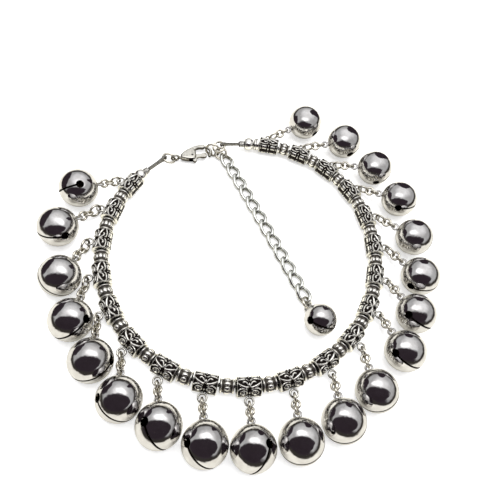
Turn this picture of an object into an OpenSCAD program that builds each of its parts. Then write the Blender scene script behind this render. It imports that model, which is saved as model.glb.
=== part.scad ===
// Bell anklet lying on a table. A strand of cast silver-coloured beads is threaded on a
// beading wire, every hanger bead carries a round jingle bell on three small rings, and a
// lobster clasp hooks into a ring that also holds a curb extender chain with a small bell.
// The loop lies with its beads and bells on z = 0, and +Y points to the clasp.

/* [Strand] */
// Bead-to-bead pitch along the strand
pitch = 9.75; // [9.7:0.05:9.85]
// Length of a hanger bead
hanger_length = 5.6; // [5.5:0.05:5.65]
// Diameter over the rims of a hanger bead
hanger_dia = 4.7; // [4.6:0.1:4.8]
// Length of a spacer bead
spacer_length = 3.3; // [3.1:0.1:3.3]
// Diameter of a spacer bead
spacer_dia = 3.9; // [3.7:0.1:4]
// Bore through all the beads
bore_dia = 1.7; // [1.6:0.1:1.8]
// Diameter of the beading wire
wire_dia = 1; // [0.9:0.1:1]

/* [Bells] */
// Outer diameter of a bell on the strand
bell_dia = 10; // [9.9:0.05:10.05]
// Outer diameter of the bell at the end of the chain
end_bell_dia = 8; // [7.8:0.1:8.2]
// Sheet thickness of the bells
bell_wall = 0.45; // [0.4:0.05:0.5]
// Width of the sound slot
slot_width = 0.5; // [0.4:0.1:0.6]
// Diameter of the hole at each end of the slot
slot_hole_dia = 2; // [1.8:0.1:2.2]
// Diameter of the loose pellet inside
pellet_dia = 2.8; // [2.6:0.1:3]

/* [Rings] */
// Wire diameter of the jump rings at the clasp and the chain
ring_wire = 0.6; // [0.55:0.05:0.6]
// Wire diameter of the rings that hang the bells
drop_wire = 0.45; // [0.42:0.01:0.46]

/* [Extender chain] */
// Wire diameter of a link
link_wire = 0.8; // [0.75:0.05:0.8]

/* [Clasp] */
// Thickness of the clasp
clasp_thickness = 2; // [1.9:0.1:2.1]

/* [Hidden] */

// Puts the middle of the whole loop on the origin.
shift = [0.24, 4.72, 0];

// Stretches of the strand from the first hanger bead round the front to the last one.
RADIUS = 0;
SWEEP = 1;
strand_arcs = [[38.8, 60.5], [32.4, 46], [37.6, 81], [43, 34], [31.8, 120]];
strand_start = [-35.06 + shift[0], 7.07 + shift[1], -106.3];
hanger_count = 20;

// How each bell hangs: its swing from square to the strand towards the front, how far its
// centre lies from the loop of its bead, and the turn of its slot about its own axis.
SWING = 0;
REACH = 1;
SLOT = 2;
drops = [
    [59.4, 11.81, -29], [58, 12.63, -70], [68.7, 12.9, 63], [68.7, 12.67, -57], [63.6, 12, -74],
    [50.6, 11.66, 57], [34.6, 10.64, 35], [15.5, 10.64, 51], [-2, 10.75, -35], [-17.2, 11.22, 105],
    [-30.5, 11.6, 110], [-42.8, 11.81, 115], [-43.5, 11.5, 58], [-51.9, 11.85, 54], [-55, 12.51, 87],
    [-56.4, 12.33, 132], [-57.2, 12.26, 74], [-60.5, 12.41, -77], [-59.8, 12.9, -82], [-58.5, 12.56, -80]
];

// Rings at the closure: centre, yaw of the level line in the ring, turn about that line from
// upright, and centre-line radius.
CENTRE = 0;
YAW = 1;
ROLL = 2;
RING_R = 3;
clasp_ring_place = [[-28.17, 20.25, 1.885] + shift, 128.3, 105.4, 1.75];
catch_ring_place = [[-16.84, 27.02, 2.34] + shift, -176, 9, 2];
side_ring_place = [[-15.27, 28.04, 3.2] + shift, 137, 70, 1.7];
chain_ring_place = [[-14.33, 26.99, 1.86] + shift, -178, 48, 1.6];
end_ring_place = [[18.75, -14.15, 1.32] + shift, -66, 53, 1.55];

// The wire ends in a narrow loop on each side: yaw, rise, length and roll of that loop.
RISE = 1;
LENGTH = 2;
TURN = 3;
left_loop = [60.9, -0.1, 6.56, 90];
right_loop = [-144.5, 16.3, 6.19, 69];

hanger_r = hanger_dia / 2;
spacer_r = spacer_dia / 2;
bore_r = bore_dia / 2;
wire_r = wire_dia / 2;
ring_wire_r = ring_wire / 2;
drop_wire_r = drop_wire / 2;
bell_r = bell_dia / 2;
end_bell_r = end_bell_dia / 2;
axis_z = hanger_r;

// The cast loop on the outer side of a hanger bead hangs a little below level.
loop_r = 0.95;
loop_wire_r = 0.28;
loop_offset = hanger_r + loop_r + 0.12;
loop_dip = 4;
loop_neck_r = 0.4;
neck_sink = 0.2;

// Wire shank of a bell: its centre-line radius, its wire's radius, and how far its centre
// stands off the ball.
SHANK_R = 0;
SHANK_WIRE_R = 1;
STAND_OFF = 2;
strand_shank = [0.8, 0.3, 0.98];
end_shank = [0.95, 0.32, 1.15];

// Pieces at the two ends of the strand, set one after the other with a small gap.
rim_gap = 0.38;
end_gap = 0.22;
end_bead_r = 1.85;
end_bead_length = 2.4;
washer_length = 1.23;
washer_r = 1.75;
crimp_length = 1.5;
crimp_r = 1;
wire_tail = 0.35;
strand_length = (hanger_count - 1) * pitch;
left_bead_s = -hanger_length / 2 - rim_gap - end_bead_length / 2;
left_crimp_s = left_bead_s - end_bead_length / 2 - end_gap - crimp_length / 2;
left_wire_s = left_crimp_s - crimp_length / 2 - wire_tail;
washer_s = strand_length + hanger_length / 2 + rim_gap + washer_length / 2;
right_bead_s = washer_s + washer_length / 2 + end_gap + end_bead_length / 2;
right_crimp_s = right_bead_s + end_bead_length / 2 + end_gap + crimp_length / 2;
right_wire_s = right_crimp_s + crimp_length / 2 + wire_tail;

function numbered(name, i) = str(name, i < 9 ? "_0" : "_", i + 1);

// Position and heading at the distance s along the strand, as [x, y, heading].
function arc_length(i) = strand_arcs[i][RADIUS] * strand_arcs[i][SWEEP] * PI / 180;
function arc_step(pose, i, s) =
    let (r = strand_arcs[i][RADIUS], a = pose[2], b = a + s / r * 180 / PI)
    [pose[0] + r * (sin(b) - sin(a)), pose[1] - r * (cos(b) - cos(a)), b];
function arc_start(i) = i == 0 ? strand_start : arc_step(arc_start(i - 1), i - 1, arc_length(i - 1));
function pose_at(s, i = 0) =
    i == len(strand_arcs) - 1 || s <= arc_length(i)
        ? arc_step(arc_start(i), i, s)
        : pose_at(s - arc_length(i), i + 1);

// The loop of hanger bead i, and the line from it to the centre of its bell.
function loop_centre(i) =
    let (p = pose_at(i * pitch), reach = loop_offset * cos(loop_dip))
    [p[0] + reach * sin(p[2]), p[1] - reach * cos(p[2]), axis_z - loop_offset * sin(loop_dip)];
function drop_yaw(i) = pose_at(i * pitch)[2] - 90 + drops[i][SWING];
function drop_rise(i) = asin((bell_r - loop_centre(i)[2]) / drops[i][REACH]);

// Three rings reach along that line: one through the loop, then two links. The links take
// part of any extra length, and the first ring takes the rest.
near_r = loop_r - loop_wire_r - drop_wire_r - 0.3;
wire_step = drop_wire + 0.1;
shank_step = drop_wire_r + strand_shank[SHANK_WIRE_R] + 0.08;
link_least = 0.4;
link_share = 0.18;
bead_ring_roll = 12;
link_rolls = [-60, 30];
strand_shank_roll = 120;
function ring_span(i) =
    drops[i][REACH] - bell_r - strand_shank[STAND_OFF] - strand_shank[SHANK_R] - near_r;
function radius_sum(i) = (ring_span(i) + len(link_rolls) * wire_step + shank_step) / 2;
function link_r(i) = link_least + link_share * radius_sum(i);
function bead_ring_r(i) = radius_sum(i) - len(link_rolls) * link_r(i);
function bead_ring_x(i) = near_r + bead_ring_r(i);
function link_x(i, n) =
    bead_ring_x(i) + bead_ring_r(i) - wire_step + link_r(i) + n * (2 * link_r(i) - wire_step);

module along(s) {
    p = pose_at(s);
    translate([p[0], p[1], axis_z]) rotate([0, 0, p[2]]) children();
}

// Local +X runs from the loop of bead i to its bell.
module drop_frame(i) {
    translate(loop_centre(i)) rotate([0, -drop_rise(i), drop_yaw(i)]) children();
}

module torus(r, wire) {
    rotate_extrude($fn = 96) translate([r, 0]) circle(r = wire, $fn = 24);
}

// A ring whose plane holds local X, turned about X by roll from upright.
module ring_on_x(r, wire, roll) {
    rotate([roll, 0, 0]) rotate([90, 0, 0]) torus(r, wire);
}

module placed_ring(place) {
    color("silver") translate(place[CENTRE]) rotate([0, 0, place[YAW]])
        ring_on_x(place[RING_R], ring_wire_r, place[ROLL]);
}

module bead_bore(length) {
    rotate([0, 90, 0]) cylinder(h = length + 1, r = bore_r, center = true, $fn = 48);
}

// Cylinder along X between two distances.
module barrel(x0, x1, r) {
    translate([x0, 0, 0]) rotate([0, 90, 0]) cylinder(h = x1 - x0, r = r, $fn = 64);
}

// One face of the cast scrollwork: two volutes with a stud between them. Faces lie on top,
// on both sides of the loop, and on the inner side.
scroll_turns = [0, 58, 122, 270];
volute_x = 1.3;
volute_r = 0.55;
relief_r = 0.17;
relief_sink = 0.22;
stud_r = 0.36;
module scroll_face(turn) {
    rotate([turn, 0, 0]) {
        for (side = [-1, 1])
            translate([side * volute_x, 0, hanger_r - relief_sink]) torus(volute_r, relief_r);
        translate([0, 0, hanger_r - stud_r]) sphere(r = stud_r, $fn = 32);
    }
}

rim_length = 0.25;
groove_length = 0.2;
field_r = hanger_r - 0.2;
groove_r = hanger_r - 0.35;
module hanger_bead(i) {
    color("darkgray") along(i * pitch) difference() {
        union() {
            half = hanger_length / 2;
            for (side = [0, 1]) mirror([side, 0, 0]) {
                barrel(half - rim_length, half, hanger_r);
                barrel(half - rim_length - groove_length - 0.1, half - rim_length + 0.1, groove_r);
            }
            barrel(-half + rim_length + groove_length, half - rim_length - groove_length, field_r);
            rotate([loop_dip, 0, 0]) {
                translate([0, -loop_offset, 0]) torus(loop_r, loop_wire_r);
                translate([0, -field_r + neck_sink, 0]) rotate([90, 0, 0])
                    cylinder(h = loop_offset - loop_r - field_r + neck_sink, r = loop_neck_r, $fn = 32);
            }
            for (turn = scroll_turns) scroll_face(turn + loop_dip);
        }
        bead_bore(hanger_length);
    }
}

// A bead turned from a profile: its bore runs along X.
module turned() {
    rotate([0, 90, 0]) rotate_extrude($fn = 96) children();
}

collar_length = 0.5;
collar_r = spacer_r - 0.2;
core_r = collar_r - 0.25;
bulge_half = 0.95;
module spacer_bead() {
    half = spacer_length / 2;
    turned() {
        for (side = [-1, 1]) translate([bore_r, side * (half - collar_length / 2) - collar_length / 2])
            square([collar_r - bore_r, collar_length]);
        translate([bore_r, -half + 0.1]) square([core_r - bore_r, spacer_length - 0.2]);
        intersection() {
            circle(r = spacer_r, $fn = 96);
            translate([bore_r, -bulge_half]) square([spacer_r, 2 * bulge_half]);
        }
    }
}

module spacers() {
    color("silver") for (i = [0 : hanger_count - 2]) along((i + 0.5) * pitch) spacer_bead();
}

module end_bead(s) {
    color("silver") along(s) turned() intersection() {
        circle(r = end_bead_r, $fn = 96);
        translate([bore_r, -end_bead_length / 2]) square([end_bead_r, end_bead_length]);
    }
}

module end_washer() {
    color("silver") along(washer_s) difference() {
        barrel(-washer_length / 2, washer_length / 2, washer_r);
        bead_bore(washer_length);
    }
}

module crimps() {
    color("dimgray") for (s = [left_crimp_s, right_crimp_s])
        along(s) difference() {
            barrel(-crimp_length / 2, crimp_length / 2, crimp_r);
            rotate([0, 90, 0]) cylinder(h = crimp_length + 1, r = wire_r + 0.08, center = true, $fn = 48);
        }
}

// A ball whose poles lie square to the slot and whose seam lies between the slot's hole
// and the shank, so that no cut crosses either.
ball_turn = 130;
module ball(r, slot_roll) {
    rotate([slot_roll, 0, 0]) rotate([0, ball_turn, 0]) rotate([90, 0, 0]) sphere(r = r, $fn = 128);
}

// A round bell centred on the origin: the shank points to -X and the slot crosses +X.
hole_angle = 80;
module bell(r, shank, shank_roll, slot_roll) {
    difference() {
        union() {
            ball(r, slot_roll);
            translate([-r - shank[STAND_OFF], 0, 0])
                ring_on_x(shank[SHANK_R], shank[SHANK_WIRE_R], shank_roll);
        }
        ball(r - bell_wall, slot_roll);
        rotate([slot_roll, 0, 0]) {
            translate([r * 0.17, -slot_width / 2, -r - 1]) cube([r + 1, slot_width, 2 * r + 2]);
            for (side = [-1, 1])
                rotate([0, -side * hole_angle, 0]) translate([r / 2, 0, 0]) rotate([0, 90, 0])
                    cylinder(h = r, d = slot_hole_dia, $fn = 48);
        }
    }
}

module strand_bell(i) {
    color("lightgray") drop_frame(i) translate([drops[i][REACH], 0, 0])
        bell(bell_r, strand_shank, strand_shank_roll, drops[i][SLOT]);
}

module bead_rings() {
    color("silver") for (i = [0 : hanger_count - 1])
        drop_frame(i) translate([bead_ring_x(i), 0, 0])
            ring_on_x(bead_ring_r(i), drop_wire_r, bead_ring_roll);
}

module bell_rings() {
    color("silver") for (i = [0 : hanger_count - 1], n = [0 : len(link_rolls) - 1])
        drop_frame(i) translate([link_x(i, n), 0, 0]) ring_on_x(link_r(i), drop_wire_r, link_rolls[n]);
}

pellet_gap = 0.1;
pellet_r = pellet_dia / 2;
function bell_centre(i) =
    let (c = loop_centre(i), y = drop_yaw(i), e = drop_rise(i), d = drops[i][REACH])
    [c[0] + d * cos(e) * cos(y), c[1] + d * cos(e) * sin(y), bell_r];
module pellet(x, y) {
    translate([x, y, bell_wall + pellet_gap + pellet_r]) sphere(r = pellet_r, $fn = 48);
}

module pellets() {
    color("gray") {
        for (i = [0 : hanger_count - 1]) pellet(bell_centre(i)[0], bell_centre(i)[1]);
        pellet(end_bell_centre[0], end_bell_centre[1]);
    }
}

// Stretch of the beading wire on arc i between two distances from that arc's own start.
module wire_arc(i, s0, s1) {
    p = arc_step(arc_start(i), i, s0);
    r = strand_arcs[i][RADIUS];
    translate([p[0] - r * sin(p[2]), p[1] + r * cos(p[2]), axis_z])
        rotate([0, 0, p[2] - 90])
            rotate_extrude(angle = (s1 - s0) / r * 180 / PI, $fn = 180)
                translate([r, 0]) circle(r = wire_r, $fn = 24);
}

// A narrow closed loop of wire from the origin to x = length, in a plane rolled about X.
side_overlap = 0.08;
side_inset = 0.02;
module eye_loop(length, half_width, wire, roll) {
    rotate([roll, 0, 0]) {
        for (side = [-1, 1])
            translate([0, side * half_width, 0])
                barrel(half_width - side_overlap, length - half_width + side_overlap, wire - side_inset);
        translate([length - half_width, 0, 0]) rotate([0, 0, -90])
            rotate_extrude(angle = 180, $fn = 48) translate([half_width, 0]) circle(r = wire, $fn = 24);
        translate([half_width, 0, 0]) rotate([0, 0, 90])
            rotate_extrude(angle = 180, $fn = 48) translate([half_width, 0]) circle(r = wire, $fn = 24);
    }
}

module end_loop(s, loop) {
    p = pose_at(s);
    translate([p[0], p[1], axis_z]) rotate([0, -loop[RISE], loop[0]])
        eye_loop(loop[LENGTH], eye_half_width, eye_wire_r, loop[TURN]);
}

eye_half_width = 0.72;
eye_wire_r = 0.25;
last_arc = len(strand_arcs) - 1;
function arcs_before(i) = i == 0 ? 0 : arcs_before(i - 1) + arc_length(i - 1);

// Sleeves join the arcs of the wire, hidden in the bores of the beads.
sleeve_half = 0.4;
sleeve_r = wire_r + 0.06;
arc_gap = 0.1;
module beading_wire() {
    color("gray") {
        for (i = [0 : last_arc])
            wire_arc(i, i == 0 ? left_wire_s : arc_gap,
                i == last_arc ? right_wire_s - arcs_before(last_arc) : arc_length(i) - arc_gap);
        for (i = [1 : last_arc]) along(arcs_before(i)) barrel(-sleeve_half, sleeve_half, sleeve_r);
        end_loop(left_wire_s, left_loop);
        end_loop(right_wire_s, right_loop);
    }
}

// The lobster clasp: its base loop is at the local origin and its hook points to local +X.
clasp_place = [-26.64, 21.37, 1.42] + shift;
clasp_yaw = 23.4;
base_loop_r = 1;
base_wire_r = 0.36;
neck_r = 0.45;
body_outline = [
    [1.4, -0.4], [2.6, -0.95], [4.1, -1.3], [5.5, -1.25], [6.1, -0.6], [6.2, 0.6],
    [6.1, 1.8], [5.6, 2.7], [4.4, 2.7], [2.8, 1.8], [1.4, 0.6]
];
arm_outline = [
    [4.2, 1.6], [4.2, 2.6], [5.8, 3.6], [7.2, 3.95], [8.9, 3.95], [8.9, 2.95],
    [7.2, 2.9], [6.1, 2.2], [6, 1.6]
];
arm_thickness = 1.2;
hook_centre = [8.8, 1.5, 0];
hook_r = 1.95;
hook_wire_r = 0.5;
hook_from = -55;
hook_to = 92;
pivot = [5, -0.02, 0];
pin_r = 0.35;
pin_fit = 0.03;
lever_fit = 0.05;
lever_reach = 4.3;
lever_thickness = 0.9;
lever_slot = [[3.9, -2.32], [4, 3.8], lever_thickness + 0.14];
lever_outline = [
    [4.3, -0.02], [4.7, 0.58], [9.6, 0.63], [9.6, -0.47], [6.4, -0.72], [6.1, -1.72],
    [5.7, -2.12], [5.2, -2.02], [4.8, -0.72]
];

module on_clasp() {
    translate(clasp_place) rotate([0, 0, clasp_yaw]) children();
}

module plate(outline, thickness) {
    linear_extrude(height = thickness, center = true) polygon(outline);
}

module clasp_body() {
    color("silver") on_clasp() {
        ring_on_x(base_loop_r, base_wire_r, 0);
        barrel(base_loop_r, 1.9, neck_r);
        difference() {
            plate(body_outline, clasp_thickness);
            translate([lever_slot[0][0], lever_slot[0][1], -lever_slot[2] / 2])
                cube([lever_slot[1][0], lever_slot[1][1], lever_slot[2]]);
            translate(pivot) cylinder(h = 3, r = pin_r + pin_fit, center = true, $fn = 48);
        }
        plate(arm_outline, arm_thickness);
        translate(hook_centre) rotate([0, 0, hook_from])
            rotate_extrude(angle = hook_to - hook_from, $fn = 96)
                translate([hook_r, 0]) circle(r = hook_wire_r, $fn = 32);
    }
}

module clasp_lever() {
    color("silver") on_clasp() difference() {
        intersection() {
            plate(lever_outline, lever_thickness);
            translate(pivot) cylinder(h = 2, r = lever_reach, center = true, $fn = 128);
        }
        translate(pivot) cylinder(h = 2, r = pin_r + lever_fit, center = true, $fn = 48);
    }
}

module clasp_pin() {
    color("dimgray") on_clasp() translate(pivot)
        cylinder(h = clasp_thickness, r = pin_r, center = true, $fn = 48);
}

// A curb link is an oval of wire twisted by a quarter turn from end to end, so it lies flat.
link_count = 12;
link_pitch = 4.3;
link_half_length = 2.68;
link_half_width = 1.4;
link_twist = 45;
link_stations = 20;
link_sides = 6;
chain_place = [-12.05, 25.32, 1.27] + shift;
chain_heading = -50.6;
chain_bend = -0.18;

function link_point(a) =
    let (x = link_half_length * cos(a), y = link_half_width * sin(a), t = link_twist * cos(a))
    [x, y * cos(t), y * sin(t)];
function link_normal(a) = let (t = link_twist * cos(a)) [0, -sin(t), cos(t)];
function unit(v) = v / norm(v);
function link_section(a) =
    let (
        along_wire = unit(link_point(a + 1) - link_point(a - 1)),
        side = unit(cross(along_wire, link_normal(a))),
        up = cross(side, along_wire)
    )
    [for (k = [0 : link_sides - 1])
        link_point(a) + link_wire / 2 * (cos(k * 360 / link_sides) * side + sin(k * 360 / link_sides) * up)];

module curb_link() {
    points = [for (i = [0 : link_stations - 1]) each link_section(i * 360 / link_stations)];
    total = link_stations * link_sides;
    faces = [
        for (i = [0 : link_stations - 1], k = [0 : link_sides - 1])
            let (n = (k + 1) % link_sides, a = i * link_sides, b = (a + link_sides) % total)
            each [[a + k, a + n, b + n], [a + k, b + n, b + k]]
    ];
    polyhedron(points, faces);
}

function chain_pose(i) =
    i == 0 ? [chain_place[0], chain_place[1], chain_heading]
    : let (p = chain_pose(i - 1), h = p[2] + chain_bend / 2)
      [p[0] + link_pitch * cos(h), p[1] + link_pitch * sin(h), p[2] + chain_bend];

module extender_chain() {
    color("silver") for (i = [0 : link_count - 1]) {
        p = chain_pose(i);
        translate([p[0], p[1], chain_place[2]]) rotate([0, 0, p[2]]) curb_link();
    }
}

end_bell_centre = [22.25, -19.03, end_bell_r] + shift;
end_bell_yaw = -50;
end_bell_rise = 29.7;
end_shank_roll = -64;
end_slot_roll = 60;
module end_bell() {
    color("lightgray") translate(end_bell_centre) rotate([0, -end_bell_rise, end_bell_yaw])
        bell(end_bell_r, end_shank, end_shank_roll, end_slot_roll);
}

for (i = [0 : hanger_count - 1]) {
    hanger_bead(i);
    strand_bell(i);
}
spacers();
end_bead(left_bead_s);  // end_bead_left
end_bead(right_bead_s);  // end_bead_right
end_washer();
beading_wire();
crimps();
bead_rings();
bell_rings();
pellets();
placed_ring(clasp_ring_place);  // clasp_ring
clasp_body();
clasp_lever();
clasp_pin();
placed_ring(catch_ring_place);  // catch_ring
placed_ring(side_ring_place);  // side_ring
placed_ring(chain_ring_place);  // chain_ring
extender_chain();
placed_ring(end_ring_place);  // end_ring
end_bell();
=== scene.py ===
import math

import bmesh
import bpy
import numpy as np
from mathutils import Matrix, Vector


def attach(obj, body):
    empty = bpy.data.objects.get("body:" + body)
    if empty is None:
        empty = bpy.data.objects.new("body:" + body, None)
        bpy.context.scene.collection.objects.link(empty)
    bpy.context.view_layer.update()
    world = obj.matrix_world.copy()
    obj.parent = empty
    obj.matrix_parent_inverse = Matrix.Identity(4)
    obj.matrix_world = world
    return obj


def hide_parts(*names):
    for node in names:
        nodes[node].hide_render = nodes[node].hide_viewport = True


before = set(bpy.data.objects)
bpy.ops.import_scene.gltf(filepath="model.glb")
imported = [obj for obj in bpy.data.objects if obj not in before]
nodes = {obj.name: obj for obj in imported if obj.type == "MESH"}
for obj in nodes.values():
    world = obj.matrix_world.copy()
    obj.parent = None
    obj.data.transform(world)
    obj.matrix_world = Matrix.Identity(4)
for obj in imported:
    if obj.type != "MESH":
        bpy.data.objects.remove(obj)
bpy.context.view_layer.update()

# Beading wire: a fine steel cable through all the beads, laid round the ankle in one uneven
# loop. It turns back into a narrow eye at each end, which a crimp holds.
mm = 0.001
whole_loop = Matrix.Translation((0.24, 4.72, 0))
# Place and direction of the strand at the first hanger bead, then the radius and the sweep of
# each arc of it, in mm and degrees. Distances along it start at that bead.
strand_start = (-35.06, 7.07, -106.3)
strand_arcs = ((38.8, 60.5), (32.4, 46), (37.6, 81), (43, 34), (31.8, 120))
axis_height = 2.35
bead_count = 20
bead_pitch = 9.75
left_end, right_end = -7.65, 194.31


def turned(axis, degrees):
    return Matrix.Rotation(math.radians(degrees), 4, axis)


def moved(x, y=0, z=0):
    return Matrix.Translation((x, y, z))


def in_metres(place):
    """The same frame as place, which is in mm, for a mesh in metres."""
    return Matrix.Scale(mm, 4) @ place @ Matrix.Scale(1 / mm, 4)


def along_strand(distance):
    """Frame at that distance in mm from the first hanger bead, its X along the strand."""
    x, y, heading = strand_start
    for radius, sweep in strand_arcs:
        last = (radius, sweep) == strand_arcs[-1]
        turn = math.degrees(distance / radius)
        step = turn if last or turn < sweep else sweep
        a, b = math.radians(heading), math.radians(heading + step)
        x += radius * (math.sin(b) - math.sin(a))
        y -= radius * (math.cos(b) - math.cos(a))
        heading += step
        if last or turn < sweep:
            break
        distance -= radius * math.radians(sweep)
    return whole_loop @ moved(x, y, axis_height) @ turned("Z", heading)


def start_tree(name, kind, *sockets):
    """New node tree with those sockets, each given as (in or out, name, type)."""
    tree = bpy.data.node_groups.new(name, kind)
    for way, label, socket in sockets:
        tree.interface.new_socket(label, in_out=way, socket_type=f"NodeSocket{socket}")
    return tree


def add(tree, kind, inputs=(), **settings):
    """Adds a node. Each input takes a value, or the output that feeds it."""
    node = tree.nodes.new(kind)
    for key, value in settings.items():
        setattr(node, key, value)
    for key, value in dict(inputs).items():
        if isinstance(value, bpy.types.NodeSocket):
            tree.links.new(value, node.inputs[key])
        else:
            node.inputs[key].default_value = value
    return node


def in_scene(name, data):
    """A new object in the scene, at the origin."""
    item = bpy.data.objects.new(name, data)
    bpy.context.scene.collection.objects.link(item)
    return item


def made_by(tree, name, start, **inputs):
    """The plain mesh that a Geometry Nodes tree makes from start, a mesh or a curve."""
    blank = in_scene(name, start)
    modifier = blank.modifiers.new("form", "NODES")
    modifier.node_group = tree
    sockets = {s.name: s.identifier for s in tree.interface.items_tree if s.in_out == "INPUT"}
    for label, value in inputs.items():
        modifier[sockets[label.replace("_", " ")]] = value
    shaped = blank.evaluated_get(bpy.context.evaluated_depsgraph_get())
    mesh = bpy.data.meshes.new_from_object(shaped)
    mesh.name = name
    bpy.data.objects.remove(blank)
    return mesh


def add_piece(mesh, slot, *replaced, body="anklet"):
    """Puts a finished mesh in the scene as the piece that stands for those CAD nodes."""
    piece = in_scene(mesh.name, mesh)
    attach(piece, body)
    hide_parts(*replaced)
    return piece


# What years in a drawer leave on plated metal: a dark film in the low places, breaking up
# over a fine grain, and a faint unevenness of the surface. On wire and flat castings the same
# film is laid on the sides as painted shade.
tarnish = start_tree(
    "tarnish", "ShaderNodeTree",
    ("INPUT", "Height", "Float"), ("INPUT", "Amount", "Float"), ("INPUT", "Grain", "Float"),
    ("INPUT", "Ripple", "Float"), ("OUTPUT", "Film", "Float"), ("OUTPUT", "Unevenness", "Float"),
)
wanted = add(tarnish, "NodeGroupInput")
place = add(tarnish, "ShaderNodeTexCoord")
patches = add(tarnish, "ShaderNodeTexNoise", {
    "Vector": place.outputs["Object"], "Scale": wanted.outputs["Grain"], "Detail": 5, "Roughness": 0.6})
ripples = add(tarnish, "ShaderNodeTexNoise", {
    "Vector": place.outputs["Object"], "Scale": wanted.outputs["Ripple"], "Detail": 2})
depth = add(tarnish, "ShaderNodeMath", {0: 1.0, 1: wanted.outputs["Height"]}, operation="SUBTRACT")
spread = add(tarnish, "ShaderNodeMapRange", {
    "Value": patches.outputs["Fac"], "From Min": 0.3, "From Max": 0.7, "To Min": -0.3, "To Max": 0.3})
uneven = add(tarnish, "ShaderNodeMath", {
    0: spread.outputs["Result"], 1: depth.outputs[0]}, operation="ADD")
covered = add(tarnish, "ShaderNodeMapRange", {
    "Value": uneven.outputs[0], "From Min": 0.15, "From Max": 0.8, "To Min": 0, "To Max": 1},
    interpolation_type="SMOOTHSTEP")
film = add(tarnish, "ShaderNodeMath", {
    0: covered.outputs["Result"], 1: wanted.outputs["Amount"]}, operation="MULTIPLY", use_clamp=True)
add(tarnish, "NodeGroupOutput", {
    "Film": film.outputs[0], "Unevenness": ripples.outputs["Fac"]})


def metal(name, bright, dark, gloss, dull, amount, grain=900, ripple=300, dent=0.00001, height=None):
    """Plated metal: bright and gloss where it is clean, dark and dull under its film.

    amount is how dark the film gets. height names the attribute that says how far a place
    stands out, from 0 to 1, and without one the film lies evenly. On wire and flat castings
    that attribute says how far a place faces up instead, and the film there is painted shade.
    """
    material = bpy.data.materials.new(name)
    material.use_nodes = True
    tree = material.node_tree
    shader = tree.nodes["Principled BSDF"]
    shader.inputs["Metallic"].default_value = 1
    stands_out = 0.5
    if height:
        stands_out = add(tree, "ShaderNodeAttribute", attribute_name=height).outputs["Fac"]
    marks = add(tree, "ShaderNodeGroup", {
        "Height": stands_out, "Amount": amount, "Grain": grain, "Ripple": ripple}, node_tree=tarnish)
    colour = add(tree, "ShaderNodeMix", {
        0: marks.outputs["Film"], 6: (*bright, 1), 7: (*dark, 1)}, data_type="RGBA")
    rough = add(tree, "ShaderNodeMapRange", {
        "Value": marks.outputs["Film"], "To Min": gloss, "To Max": dull})
    bump = add(tree, "ShaderNodeBump", {
        "Height": marks.outputs["Unevenness"], "Strength": 1, "Distance": dent})
    tree.links.new(colour.outputs[2], shader.inputs["Base Color"])
    tree.links.new(rough.outputs["Result"], shader.inputs["Roughness"])
    tree.links.new(bump.outputs["Normal"], shader.inputs["Normal"])
    return material


# The cable is six fine strands laid round each other, dull grey where it shows.
strand_count = 6
strand_share = 0.333
cable = start_tree(
    "cable", "GeometryNodeTree",
    ("INPUT", "Geometry", "Geometry"), ("INPUT", "Cable radius", "Float"), ("INPUT", "Lay", "Float"),
    ("INPUT", "Material", "Material"), ("OUTPUT", "Geometry", "Geometry"),
)
wanted = add(cable, "NodeGroupInput")
strand_r = add(cable, "ShaderNodeMath", {
    0: wanted.outputs["Cable radius"], 1: strand_share}, operation="MULTIPLY")
core_r = add(cable, "ShaderNodeMath", {
    0: wanted.outputs["Cable radius"], 1: strand_r.outputs[0]}, operation="SUBTRACT")
spots = add(cable, "GeometryNodeCurvePrimitiveCircle", {
    "Resolution": strand_count, "Radius": core_r.outputs[0]})
strand = add(cable, "GeometryNodeCurvePrimitiveCircle", {"Resolution": 8, "Radius": strand_r.outputs[0]})
bundle = add(cable, "GeometryNodeInstanceOnPoints", {
    "Points": spots.outputs["Curve"], "Instance": strand.outputs["Curve"]})
section = add(cable, "GeometryNodeRealizeInstances", {"Geometry": bundle.outputs["Instances"]})
travelled = add(cable, "GeometryNodeSplineParameter")
turns = add(cable, "ShaderNodeMath", {
    0: travelled.outputs["Length"], 1: wanted.outputs["Lay"]}, operation="DIVIDE")
twist = add(cable, "ShaderNodeMath", {0: turns.outputs[0], 1: math.tau}, operation="MULTIPLY")
laid = add(cable, "GeometryNodeSetCurveTilt", {
    "Curve": wanted.outputs["Geometry"], "Tilt": twist.outputs[0]})
swept = add(cable, "GeometryNodeCurveToMesh", {
    "Curve": laid.outputs["Curve"], "Profile Curve": section.outputs["Geometry"], "Fill Caps": True})
smooth = add(cable, "GeometryNodeSetShadeSmooth", {"Geometry": swept.outputs["Mesh"]})
solid = add(cable, "GeometryNodeRealizeInstances", {"Geometry": smooth.outputs["Geometry"]})
plated = add(cable, "GeometryNodeSetMaterial", {
    "Geometry": solid.outputs["Geometry"], "Material": wanted.outputs["Material"]})
add(cable, "NodeGroupOutput", {"Geometry": plated.outputs["Geometry"]})


def bent(name, points, closed=False):
    """Curve through points given in mm."""
    curve = bpy.data.curves.new(name, "CURVE")
    curve.dimensions = "3D"
    spline = curve.splines.new("POLY")
    spline.points.add(len(points) - 1)
    for point, place in zip(spline.points, points):
        point.co = (*(Vector(place) * mm), 1)
    spline.use_cyclic_u = closed
    return curve


def joined(name, meshes):
    """One mesh out of several, with their materials and attributes."""
    bm = bmesh.new()
    finishes = []
    for mesh in meshes:
        first = len(bm.faces)
        bm.from_mesh(mesh)
        bm.faces.ensure_lookup_table()
        for finish in mesh.materials:
            if finish not in finishes:
                finishes.append(finish)
        for face in bm.faces[first:]:
            face.material_index = finishes.index(mesh.materials[face.material_index])
        bpy.data.meshes.remove(mesh)
    whole = bpy.data.meshes.new(name)
    bm.to_mesh(whole)
    bm.free()
    for finish in finishes:
        whole.materials.append(finish)
    return whole


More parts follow.
